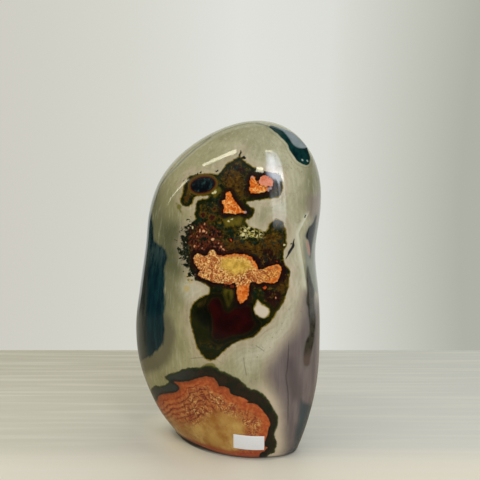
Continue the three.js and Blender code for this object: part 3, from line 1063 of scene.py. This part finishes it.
# %% Dark oval
def paint_oval(place, under):
    oval = frayed(stored("oval"), place, 4, 0.7)
    ringed = mix(fade(oval, -2.9, -2.1), under, (96, 72, 18), 0.8)
    ringed = mix(fade(oval, -1.7, -1.0), ringed, (76, 42, 16), 0.8)
    lined = mix(fade(oval, -0.9, -0.2), ringed, (46, 8, 14))
    spot = cloud(stretched(place, (1, 1, 0.6)), size=4, detail=4, roughness=0.65)
    glint = mix(fade(spot, 0.48, 0.75), (5, 9, 14), (40, 72, 70))
    return mix(fade(oval, -0.1, 0.5), lined, glint)


# %% [markdown]
# ### Orange jasper
#
# Orange jasper is full of pale worms and red dots, far too many to draw. Along its middle value a
# noise makes thin wandering lines, and this is what the squiggle group finds. The same squiggles
# and dots fill the pockets and the orb. The orb also has growth bands that follow its rim.

# %% Orange pockets
def paint_orange(place, under):
    across, _, up = axes(place)
    raw = stored("orange")
    edge = frayed(raw, place, 1.7, 2.8)
    halo_edge = frayed(raw, place, 6, 5)
    halo = both(fade(halo_edge, -4.2, -1.8), fade(stored("figure"), -0.2, 0.8))
    shadowed = mix(halo, under, (30, 9, 12), 0.8)
    outlined = mix(fade(edge, -1.2, -0.6), shadowed, (24, 6, 6))

    grains = cloud(place, size=2.6, detail=3, roughness=0.65)
    deep = mix(fade(grains, 0.4, 0.6), (194, 84, 20), (226, 122, 44))
    glints = both(worm_lines(place, 3.6, 0.06), maths("MULTIPLY_ADD", fade(up, 130, 160), 0.5, 0.3))
    deep = mix(glints, deep, (246, 202, 122))
    pale = mix(fade(grains, 0.4, 0.6), (164, 84, 42), (202, 126, 64))
    worm_colour = mix(fade(across, 18, 30), (250, 212, 136), (246, 188, 96))
    pale = mix(worm_lines(place, 2.3, 0.085), pale, worm_colour, 0.88)
    dots = fade(cloud(place, size=1.1, detail=2, roughness=0.6, offset=(9, 0, 0)), 0.54, 0.62)
    pale = mix(dots, pale, (96, 32, 18), 0.85)
    flesh = mix(patch("flesh", place, 5, 5, -2, 2), deep, pale)
    mottle_size = cloud(place, size=4, detail=5, roughness=0.6)
    mottle = mix(fade(mottle_size, 0.38, 0.62), (180, 140, 50), (228, 188, 86))
    flesh = mix(patch("yellow", place, 2.6, 8, -2.5, 3), flesh, mottle, 0.9)
    salmon = mix(fade(grains, 0.35, 0.65), (206, 110, 78), (222, 144, 118))
    flesh = mix(fade(stored("salmon"), -0.3, 0.3), flesh, salmon)
    pocketed = mix(fade(edge, -0.25, 0.25), outlined, flesh)
    lilac = fade(spot_distance(place, LILAC_SPOTS), -0.5, 0.4)
    return mix(lilac, pocketed, (172, 146, 148), 0.8)


# %% Orb
def paint_orb(place, under):
    rim = frayed(stored("orb"), place, 2.6, 2.4)
    fire = frayed(stored("fire"), place, 3.0, 1.8)
    across, _, up = axes(place)

    patches = cloud(place, size=6, detail=5, roughness=0.65)
    right_dark = mix(fade(patches, 0.4, 0.6), (19, 26, 17), (42, 30, 22))
    dark = mix(fade(across, -38, -12), mix(patches, (40, 46, 44), (62, 64, 60)), right_dark)
    dark = mix(fade(fire, -2.4, -0.6), dark, (18, 22, 18), 0.6)
    dark = mix(fade(rim, 2.0, 0.8), dark, (38, 52, 26), 0.75)
    dark = mix(fade(rim, 0.9, 0.2), dark, (88, 82, 34), 0.5)

    outer = mix(fade(cloud(place, size=2.4, detail=3), 0.35, 0.65), (162, 74, 40), (188, 100, 52))
    outer = mix(fade(across, 22, 40), outer, (198, 92, 30), 0.5)
    dark_start = both(fade(fire, 3.6, 0.2), fade(across, 14, -4))
    outer = mix(dark_start, outer, (104, 48, 28), 0.55)
    fire_lines = frayed(stored("fire"), place, 5, 4)
    lines = banding(fire_lines, place, 3.6, 1.5)
    near_left = fade(across, 16, -14)
    dark_lines = both(both(fade(lines, 0.78, 0.97), near_left), fade(fire, 2, 5))
    dark_lines = both(dark_lines, fade(cloud(place, size=9, detail=3), 0.3, 0.55))
    outer = mix(dark_lines, outer, (98, 36, 30), 0.85)
    pale_lines = both(fade(lines, 0.35, 0.05), both(near_left, fade(fire, 4, 8)))
    outer = mix(pale_lines, outer, (204, 150, 86), 0.4)

    grains = cloud(place, size=2.4, detail=3, roughness=0.65)
    middle = mix(fade(grains, 0.38, 0.6), (142, 66, 42), (182, 112, 60))
    islands = both(worm_lines(place, 2.6, 0.07), fade(cloud(place, size=8), 0.4, 0.55))
    middle = mix(islands, middle, (226, 182, 112), 0.85)
    dots = fade(cloud(place, size=1.4, detail=2, roughness=0.6, offset=(0, 9, 0)), 0.54, 0.62)
    middle = mix(dots, middle, (98, 36, 32), 0.8)
    middle = mix(dark_lines, middle, (98, 36, 30), 0.75)
    depth_in = frayed(stored("fire"), place, 9, 7)
    in_middle = both(fade(depth_in, 3.5, 8), fade(frayed(across, place, 12, 20), -42, -24))
    flesh = mix(in_middle, outer, middle)

    soft = cloud(place, size=13, detail=3, roughness=0.5)
    ochre = mix(fade(soft, 0.35, 0.7), (160, 108, 46), (200, 162, 92))
    rusty = fade(cloud(place, size=6, detail=5, roughness=0.7), 0.48, 0.68)
    ochre = mix(rusty, ochre, (142, 80, 50), 0.5)
    glow = fade(spot_distance(place, OCHRE_GLOWS), -3, 3)
    ochre = mix(glow, ochre, (204, 168, 92), 0.45)
    flesh = mix(patch("ochre", place, 9, 9, -4, 5), flesh, ochre, 0.95)
    low = fade(frayed(up, place, 8, 3), 6.5, 3.5)
    flesh = mix(low, flesh, (158, 66, 44), 0.75)
    whole = mix(fade(fire, -0.3, 0.3), dark, flesh)
    return mix(fade(rim, -0.5, 0.4), under, whole)


# %% [markdown]
# ### Foot and polish
#
# A hand polish is a hard mirror with slight waves and faint wipe marks, and it ends at the sawn
# base. A clear coat over a rough stone would look varnished. Here the stone itself has a very low
# roughness, which only the wipes, the cracks and the foot raise, and the waves are a faint bump.

# %% Foot
def paint_foot(place, under):
    """The arris over the sawn base is duller and darkened with painted shade, higher at the left, and the
    base itself is grey from the saw.
    """
    across, _, height = axes(place)
    edge = maths("MULTIPLY_ADD", fade(across, 5, -35), 2.8, 0.7)
    # Painted shade: the arris that faces the floor is darkened as if unlit, higher towards the left.
    painted_arris_shade = fade(maths("SUBTRACT", height, edge), 0.6, -0.6)
    arris_shaded = mix(painted_arris_shade, under, (15, 16, 13), 0.9)
    marks = cloud(stretched(place, (0.1, 1, 1)), size=1.2, detail=3)
    sawn = mix(fade(marks, 0.3, 0.7), (128, 120, 100), (160, 152, 130))
    return mix(fade(height, 0.25, 0.1), arris_shaded, sawn)


# %% Stone material
def new_material(name):
    material = bpy.data.materials.new(name)
    material.use_nodes = True
    return material, material.node_tree, material.node_tree.nodes["Principled BSDF"]


jasper, tree, shader = new_material("polished_jasper")
place = millimetres()
painted = paint_ground(place)
for paint in (paint_grain, paint_stains):
    painted = paint(place, painted)
hairs = fade(hairline_distance(place, HAIRLINES), 0.55, 0.15)
painted = mix(hairs, painted, (90, 100, 88), 0.5)
# A painted dark reflection runs inside the rim at the upper left and by the crest.
rim_reflection_runs = [run for line in RIM_REFLECTION_LINES for run in zip(line, line[1:])]
painted_rim_reflection = fade(hairline_distance(place, rim_reflection_runs), 1.9, 0.4)
painted = mix(painted_rim_reflection, painted, (66, 72, 58), 0.55)
bodies = (
    paint_teal, paint_streaks, paint_figure, paint_figure_details, paint_oval, paint_orange, paint_orb,
)
for paint in bodies:
    painted = paint(place, painted)
cracks = crack_mask(place)
painted = mix(cracks, painted, (12, 16, 14))
tree.links.new(paint_foot(place, painted), shader.inputs["Base Color"])

# %% Polish
POLISH = 0.05                                       # roughness
JASPER_INDEX = 1.54                                 # jasper is fine quartz
height = axes(place)[2]
sawn = fade(height, 4.0, 2.0)
wipe = both(fade(cloud(place, size=14, detail=3), 0.5, 0.75), 0.05)
roughness = maths("ADD", maths("ADD", POLISH, wipe), both(sawn, 0.5))
tree.links.new(maths("ADD", roughness, both(cracks, 0.4)), shader.inputs["Roughness"])
swell = both(cloud(place, size=14, detail=1), 0.04)
relief = maths("SUBTRACT", swell, both(cracks, 0.15))
bump = add_node("ShaderNodeBump", {"Height": relief, "Distance": MM})
tree.links.new(bump.outputs["Normal"], shader.inputs["Normal"])
shader.inputs["IOR"].default_value = JASPER_INDEX
stone.data.materials.clear()
stone.data.materials.append(jasper)
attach(stone, "root")
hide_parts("stone")
print("the stone's shader has", len(tree.nodes), "nodes")

# %% [markdown]
# ## Paper label
#
# The label is thin paper that follows the stone. Shrinkwrap would pull a flat grid onto the skin,
# but it can slide the paper's edges. So each point of the grid is dropped straight onto the skin
# instead, and Solidify gives the sheet its thickness.

# %% Label
LABEL_WIDTH = 21
LABEL_HEIGHT = 11
LABEL_THICKNESS = 0.12
LABEL_TURN = np.radians(-2)
LABEL_STEPS = (42, 22)                              # two to a millimetre
PAPER_LIFT = 0.06                                   # a film of glue
CLEAR_OF_STONE = 200
DROP_HEIGHT = 40                                    # from here each point is dropped

label_low, label_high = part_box("label")
label_middle = (label_low + label_high) / 2 / MM
sheet = bmesh.new()
bmesh.ops.create_grid(sheet, x_segments=LABEL_STEPS[0], y_segments=LABEL_STEPS[1], size=0.5)
for point in sheet.verts:
    point.co = Vector((point.co.x * LABEL_WIDTH, 0, point.co.y * LABEL_HEIGHT))
in_front = Vector((label_middle.x, -CLEAR_OF_STONE, label_middle.z))
touch, outward, _, _ = skin_tree.ray_cast(in_front, Vector((0, 1, 0)))
right = Vector((0, 0, 1)).cross(outward).normalized()
upward = outward.cross(right)
for point in sheet.verts:
    across = point.co.x * np.cos(LABEL_TURN) - point.co.z * np.sin(LABEL_TURN)
    up = point.co.x * np.sin(LABEL_TURN) + point.co.z * np.cos(LABEL_TURN)
    start = touch + right * across + upward * up + outward * DROP_HEIGHT
    spot, slope, _, _ = skin_tree.ray_cast(start, -outward)
    point.co = (spot + slope * PAPER_LIFT) * MM
label = placed(sheet, "paper_label")
thickness = label.modifiers.new("thickness", "SOLIDIFY")
thickness.thickness = LABEL_THICKNESS * MM
thickness.offset = 1
label.data.shade_smooth()
print("label", len(label.data.vertices), "points round", tuple(round(value, 1) for value in touch))

# %% Paper
paper, tree, shader = new_material("label_paper")
place = millimetres()
fibres = cloud(place, size=0.8, detail=3)
tree.links.new(mix(fibres, (230, 231, 233), (240, 241, 245)), shader.inputs["Base Color"])
shader.inputs["Roughness"].default_value = 0.8
label.data.materials.append(paper)
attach(label, "root")
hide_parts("label")

# %% [markdown]
# ## Floor, walls and light
#
# A polished stone shows the room as much as itself. A room could be modelled for it, but a world
# shader is quicker to steer: it gives the camera a plain pale wall, the polish a simple room of
# wall, ceiling and dim front, and everything else a soft dome of light from the right. Only the
# things with a sharp mirror image are real lamps: a curtained window and thin ceiling strips.

# %% Floor
# Painted light makes the floor brighter in front of the stone and round the left of its foot, and
# a painted contact shadow lays a thin dark line under the arris. These last two follow the foot's
# real oval: the spread and slant of the skin's lowest points turn that oval into a circle, and the
# floor is measured in that circle.
FLOOR_HALF_WIDTH = 900
FLOOR_FRONT = -900
FLOOR_BACK = 315
FLOOR_DROP = 0.2                                    # the floor stays just clear of the sawn base
ARRIS_HEIGHTS = (0.3, 2.4)                          # the skin's points between these are the foot
shape = bmesh.new()
bmesh.ops.create_grid(shape, x_segments=1, y_segments=1, size=0.5)
for point in shape.verts:
    point.co.x *= 2 * FLOOR_HALF_WIDTH * MM
    point.co.y = (point.co.y * (FLOOR_BACK - FLOOR_FRONT) + (FLOOR_BACK + FLOOR_FRONT) / 2) * MM
    point.co.z = -FLOOR_DROP * MM
floor = placed(shape, "floor")
floor.visible_glossy = False
pale_floor, tree, shader = new_material("pale_floor")
place = millimetres()
across, through, _ = axes(place)
left_to_right = fade(across, -150, 170)
far = mix(left_to_right, (180, 174, 151), (190, 189, 179))
near = mix(left_to_right, (202, 196, 178), (206, 204, 195))
shade = mix(fade(through, 300, -60), far, near)
# Painted light: the floor is brighter in front of the stone.
shade = mix(fade(through, 0, -55), shade, (226, 218, 201))
foot = stone_points[(up_stone > ARRIS_HEIGHTS[0]) & (up_stone < ARRIS_HEIGHTS[1]), :2]
foot_middle = (foot.max(axis=0) + foot.min(axis=0)) / 2
to_circle = np.linalg.inv(np.linalg.cholesky(2 * np.cov((foot - foot_middle).T)))
print("half width and half depth of the foot:", (foot.max(axis=0) - foot.min(axis=0)) / 2)
from_middle = vector_maths("SUBTRACT", place, (*foot_middle, 0))
turned = {index: vector_maths("DOT_PRODUCT", from_middle, (*row, 0)) for index, row in enumerate(to_circle)}
ring = vector_maths("LENGTH", add_node("ShaderNodeCombineXYZ", turned).outputs[0])
# Painted light round the left of the foot, lightening the stone's shadow there.
painted_light_left = both(fade(ring, 2.0, 1.1), fade(across, 0, -40))
shade = mix(painted_light_left, shade, (250, 242, 212), 0.85)
grain = cloud(stretched(place, (0.05, 1, 1)), size=9, detail=3)
shade = mix(fade(grain, 0.4, 0.7), shade, (226, 221, 206), 0.36)
near_left = fade(across, 5, -30)
# Painted contact shadow: a thin dark line just round the foot, strongest at the left.
painted_contact_shadow = both(fade(ring, 1.045, 1.005), maths("MULTIPLY_ADD", near_left, 0.7, 0.2))
shade = mix(painted_contact_shadow, shade, (56, 54, 46))
tree.links.new(shade, shader.inputs["Base Color"])
shader.inputs["Roughness"].default_value = 0.5
floor.data.materials.append(pale_floor)

# %% Room that the polish mirrors
def lean(*way):
    """How far the direction that is looked in points along another way."""
    return vector_maths("DOT_PRODUCT", direction, way)


def ramp_stops(node, count):
    """The stops of a fresh colour ramp, made up to the given number."""
    stops = node.color_ramp.elements
    while len(stops) < count:
        stops.new(1.0)
    return stops


world = bpy.data.worlds.new("room")
scene.world = world
world.use_nodes = True
tree = world.node_tree
background = tree.nodes["Background"]
direction = add_node("ShaderNodeTexCoord", {}).outputs["Generated"]
to_right = lean(1, 0, 0)
to_back = lean(0, 1, 0)
height = lean(0, 0, 1)
under_ceiling = lean(0, 1, -0.3)
# The dim room in front, its paler ceiling and its paler right side
room = mix(fade(height, 0.45, 0.85), (44, 46, 46), (140, 142, 140))
room = mix(fade(lean(1, 0.3, 0), 0.55, 0.95), room, (118, 120, 114))
# The lit wall at the back, with a dark band over it, a dark gap at its left end and a dim corner
room = mix(fade(under_ceiling, -0.07, -0.03), room, (20, 24, 30))
past_left_end = fade(lean(0.99, 1, 0.65), -0.02, 0.02)
wall_share = both(past_left_end, fade(under_ceiling, -0.015, 0.015))
room = mix(wall_share, room, (232, 236, 232))
dim_corner = both(fade(height, 0.4, 0.5), fade(to_right, 0.3, 0.45))
room = mix(dim_corner, room, (52, 60, 56))
# One upright dark edge in the wall, seen only high at the left
upper_left = both(fade(to_right, 0.02, -0.05), fade(height, 0.15, 0.3))
upright_edge = both(fade(to_back, 0.51, 0.54), fade(to_back, 0.61, 0.58))
room = mix(both(upright_edge, upper_left), room, (40, 50, 56))
# The table below
table = mix(fade(to_back, 0.35, 0.7), (92, 90, 80), (176, 172, 156))
table = mix(fade(height, -0.15, -0.45), table, (128, 118, 96))
room = mix(fade(height, -0.02, -0.12), room, table)

# %% Wall behind and soft light
# The wall's colour from left to right, by how far the direction points to the right. Towards the
# right it is darker with painted shade.
WALL_SHADES = {
    -0.42: (206, 204, 195), -0.2: (213, 213, 204), 0.0: (224, 225, 219), 0.16: (219, 221, 214),
    0.24: (206, 207, 198), 0.39: (176, 177, 166),
}
RAMP_MIDDLE = 0.5
wall_ramp = add_node("ShaderNodeValToRGB", {"Fac": maths("ADD", to_right, RAMP_MIDDLE)})
for stop, (position, shade) in zip(ramp_stops(wall_ramp, len(WALL_SHADES)), WALL_SHADES.items()):
    stop.position = position + RAMP_MIDDLE
    stop.color = colour(*shade)
wall = wall_ramp.outputs[0]
dome = mix(fade(lean(0.62, -0.4, 0.67), -0.9, 0.9), (130, 132, 128), (250, 250, 246))
path = add_node("ShaderNodeLightPath", {}).outputs
lit = mix(path["Is Glossy Ray"], dome, room)
tree.links.new(mix(path["Is Camera Ray"], lit, wall), background.inputs["Color"])
print("the room's shader has", len(tree.nodes), "nodes")

# %% [markdown]
# ### Window and ceiling strips
#
# The glare on the stone is the mirror image of a bright window over a curtain, and of thin lines
# of light along the ceiling. An area lamp would give one even patch. A sheet with a shader on it
# can hold the curtain's folds and the dimmer top of the glass, and it lights the stone as well.

# %% Glowing sheets
def glowing_sheet(name, corners, strength, tint):
    """A four-cornered sheet that shines. The polish mirrors it and the camera doesn't see it."""
    shape = bmesh.new()
    shape.faces.new([shape.verts.new(Vector(corner) * MM) for corner in corners])
    holder = placed(shape, name)
    holder.visible_camera = False
    glow, tree, shader = new_material(name)
    shader.inputs["Base Color"].default_value = (0, 0, 0, 1)
    shader.inputs["Specular IOR Level"].default_value = 0
    shader.inputs["Emission Color"].default_value = colour(*tint)
    shader.inputs["Emission Strength"].default_value = strength
    holder.data.materials.append(glow)
    print(name, "from", corners[0], "to", corners[2])
    return tree, shader


# %% Window
WINDOW_Y = -1300
WINDOW_LEFT = 300
WINDOW_RIGHT = 845
WINDOW_FOOT = 620
WINDOW_TOP = 2000
WINDOW_LEAN = (-50, -40)                            # the top's corners stand so far beside the foot's
WINDOW_STRENGTH = 12
COOL_WHITE = (250, 252, 255)
tree, shader = glowing_sheet(
    "window",
    [
        (WINDOW_LEFT, WINDOW_Y, WINDOW_FOOT), (WINDOW_RIGHT, WINDOW_Y, WINDOW_FOOT),
        (WINDOW_RIGHT + WINDOW_LEAN[1], WINDOW_Y, WINDOW_TOP),
        (WINDOW_LEFT + WINDOW_LEAN[0], WINDOW_Y, WINDOW_TOP),
    ],
    WINDOW_STRENGTH,
    COOL_WHITE,
)

# %% Curtain and glass
# How bright the curtain's folds are, by their place from left to right across the window
FOLDS = {
    0.0: 0.05, 0.28: 0.08, 0.33: 0.16, 0.4: 0.14, 0.48: 0.06, 0.54: 0.3, 0.6: 0.26, 0.66: 0.04, 0.74: 0.05,
    0.8: 0.16, 0.87: 0.28, 0.93: 0.24, 1.0: 0.1,
}
# Heights in the window between which one look fades into the next
CURTAIN_TO_GLASS = (1065, 1140)
CURTAIN_TO_HEM = (920, 860)
DIM_TO_BRIGHT_GLASS = (1320, 1220)
GLASS_TO_DIM_TOP = (1420, 1900)
FOOT_FADE = 120
FOLD_SINK = 300                                     # how far a fully bright fold lowers the curtain
RIGHT_SINK = -45                                    # its right part stands higher by this
sideways, _, height = axes(millimetres())
limits = {"Value": sideways, "From Min": WINDOW_LEFT, "From Max": WINDOW_RIGHT}
across = add_node("ShaderNodeMapRange", limits).outputs[0]
folds = add_node("ShaderNodeValToRGB", {"Fac": across})
for stop, (position, value) in zip(ramp_stops(folds, len(FOLDS)), FOLDS.items()):
    stop.position = position
    stop.color = (0.85 * value, 0.92 * value, value, 1)
hanging = both(folds.outputs[0], fade(across, 0.8, 0.72))
hang = maths("MULTIPLY_ADD", hanging, FOLD_SINK, height)
hang = maths("MULTIPLY_ADD", fade(across, 0.68, 0.8), RIGHT_SINK, hang)
open_share = fade(hang, *CURTAIN_TO_GLASS)
core = fade(maths("ABSOLUTE", maths("SUBTRACT", across, 0.4)), 0.3, 0.0)
opened = mix(core, (164, 173, 192), (228, 236, 255))
bright_foot = both(fade(height, *DIM_TO_BRIGHT_GLASS), fade(across, 0.1, 0.5))
opened = mix(bright_foot, opened, (1.0, 1.05, 1.12, 1), 0.8)
opened = mix(fade(height, *GLASS_TO_DIM_TOP), opened, (140, 146, 160))
thick = mix(fade(across, 0.0, 0.15), (40, 42, 44), (136, 140, 144))
curtain = mix(fade(height, *CURTAIN_TO_HEM), folds.outputs[0], thick)
curtained = mix(fade(height, WINDOW_FOOT, WINDOW_FOOT + FOOT_FADE), (0, 0, 0), curtain)
shining = mix(open_share, curtained, opened)
soft_side = mix(fade(across, 0.01, 0.15), (0, 0, 0), shining)
tree.links.new(soft_side, shader.inputs["Emission Color"])

# %% Ceiling strips
CEILING = 1560
WARM_WHITE = (255, 252, 226)
# Each strip reaches from one X to another. Its back and front edges have a Y at either end.
STRIPS = {
    "long_strip": ((-1060, -440), (-446, -545), (-545, -710), 9),
    "far_strip": ((-3900, -1600), (-575, -575), (-665, -660), 7),
    "near_strip": ((250, 490), (-935, -935), (-1000, -1000), 9),
    "small_strip": ((145, 455), (-1600, -1650), (-1790, -1850), 13),
}
for name, (reach, back_edge, front_edge, strength) in STRIPS.items():
    corners = [
        (reach[0], back_edge[0], CEILING), (reach[1], back_edge[1], CEILING),
        (reach[1], front_edge[1], CEILING), (reach[0], front_edge[0], CEILING),
    ]
    glowing_sheet(name, corners, strength, WARM_WHITE)
scene.view_settings.view_transform = "Standard"
